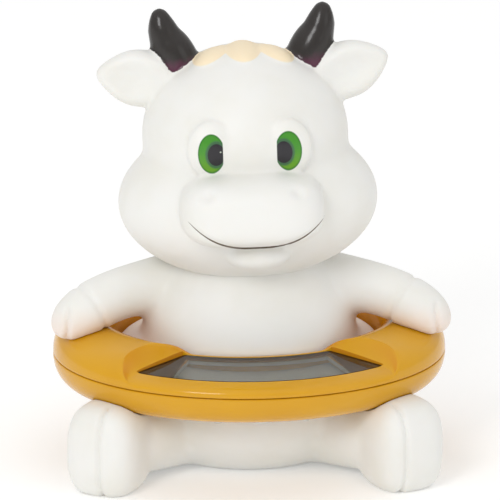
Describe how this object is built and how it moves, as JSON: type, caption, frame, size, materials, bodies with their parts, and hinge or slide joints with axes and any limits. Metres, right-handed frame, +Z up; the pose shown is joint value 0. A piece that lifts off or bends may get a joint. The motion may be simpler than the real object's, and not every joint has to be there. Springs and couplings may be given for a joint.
{
  "type": "baby bath thermometer",
  "caption": "Sitting vinyl calf figure in a hollow floating ring with a wide display window; a water temperature gauge for a baby's bath.",
  "frame": {"origin": "middle of the figure's flat seat, on the surface that it sits on", "axes": "+Z up, the figure looks along -Y, its left side is at +X"},
  "size_m": [0.1022, 0.086, 0.118],
  "materials": {
    "white_vinyl": "matte white soft vinyl with painted horns, hair and eyes",
    "yellow_shell": "glossy yellow moulded plastic",
    "smoked_window": "smoked clear plastic",
    "grey_lcd": "blank grey liquid crystal panel",
    "black_rubber": "black rubber",
    "green_board": "green circuit board",
    "black_epoxy": "black epoxy",
    "bright_metal": "bright metal"
  },
  "bodies": {
    "root": {"figure_head": "white_vinyl", "figure_body": "white_vinyl", "ring_top_shell": "yellow_shell", "ring_bottom_shell": "yellow_shell", "battery_cover": "yellow_shell", "display_window": "smoked_window", "lcd_panel": "grey_lcd", "zebra_strip": "black_rubber", "ring_seal_outer": "black_rubber", "ring_seal_inner": "black_rubber", "battery_seal": "black_rubber", "circuit_board": "green_board", "controller_blob": "black_epoxy", "thermistor": "black_epoxy", "clock_crystal": "bright_metal", "board_screw_left": "bright_metal", "board_screw_right": "bright_metal", "sensor_cap": "bright_metal", "water_contact_left": "bright_metal", "water_contact_right": "bright_metal", "button_cell_front": "bright_metal", "button_cell_rear": "bright_metal", "battery_bridge": "bright_metal", "battery_contact_plus": "bright_metal", "battery_contact_minus": "bright_metal", "battery_cover_screw": "bright_metal", "shell_screw_1": "bright_metal", "shell_screw_2": "bright_metal", "shell_screw_3": "bright_metal", "shell_screw_4": "bright_metal"}
  },
  "joints": []
}
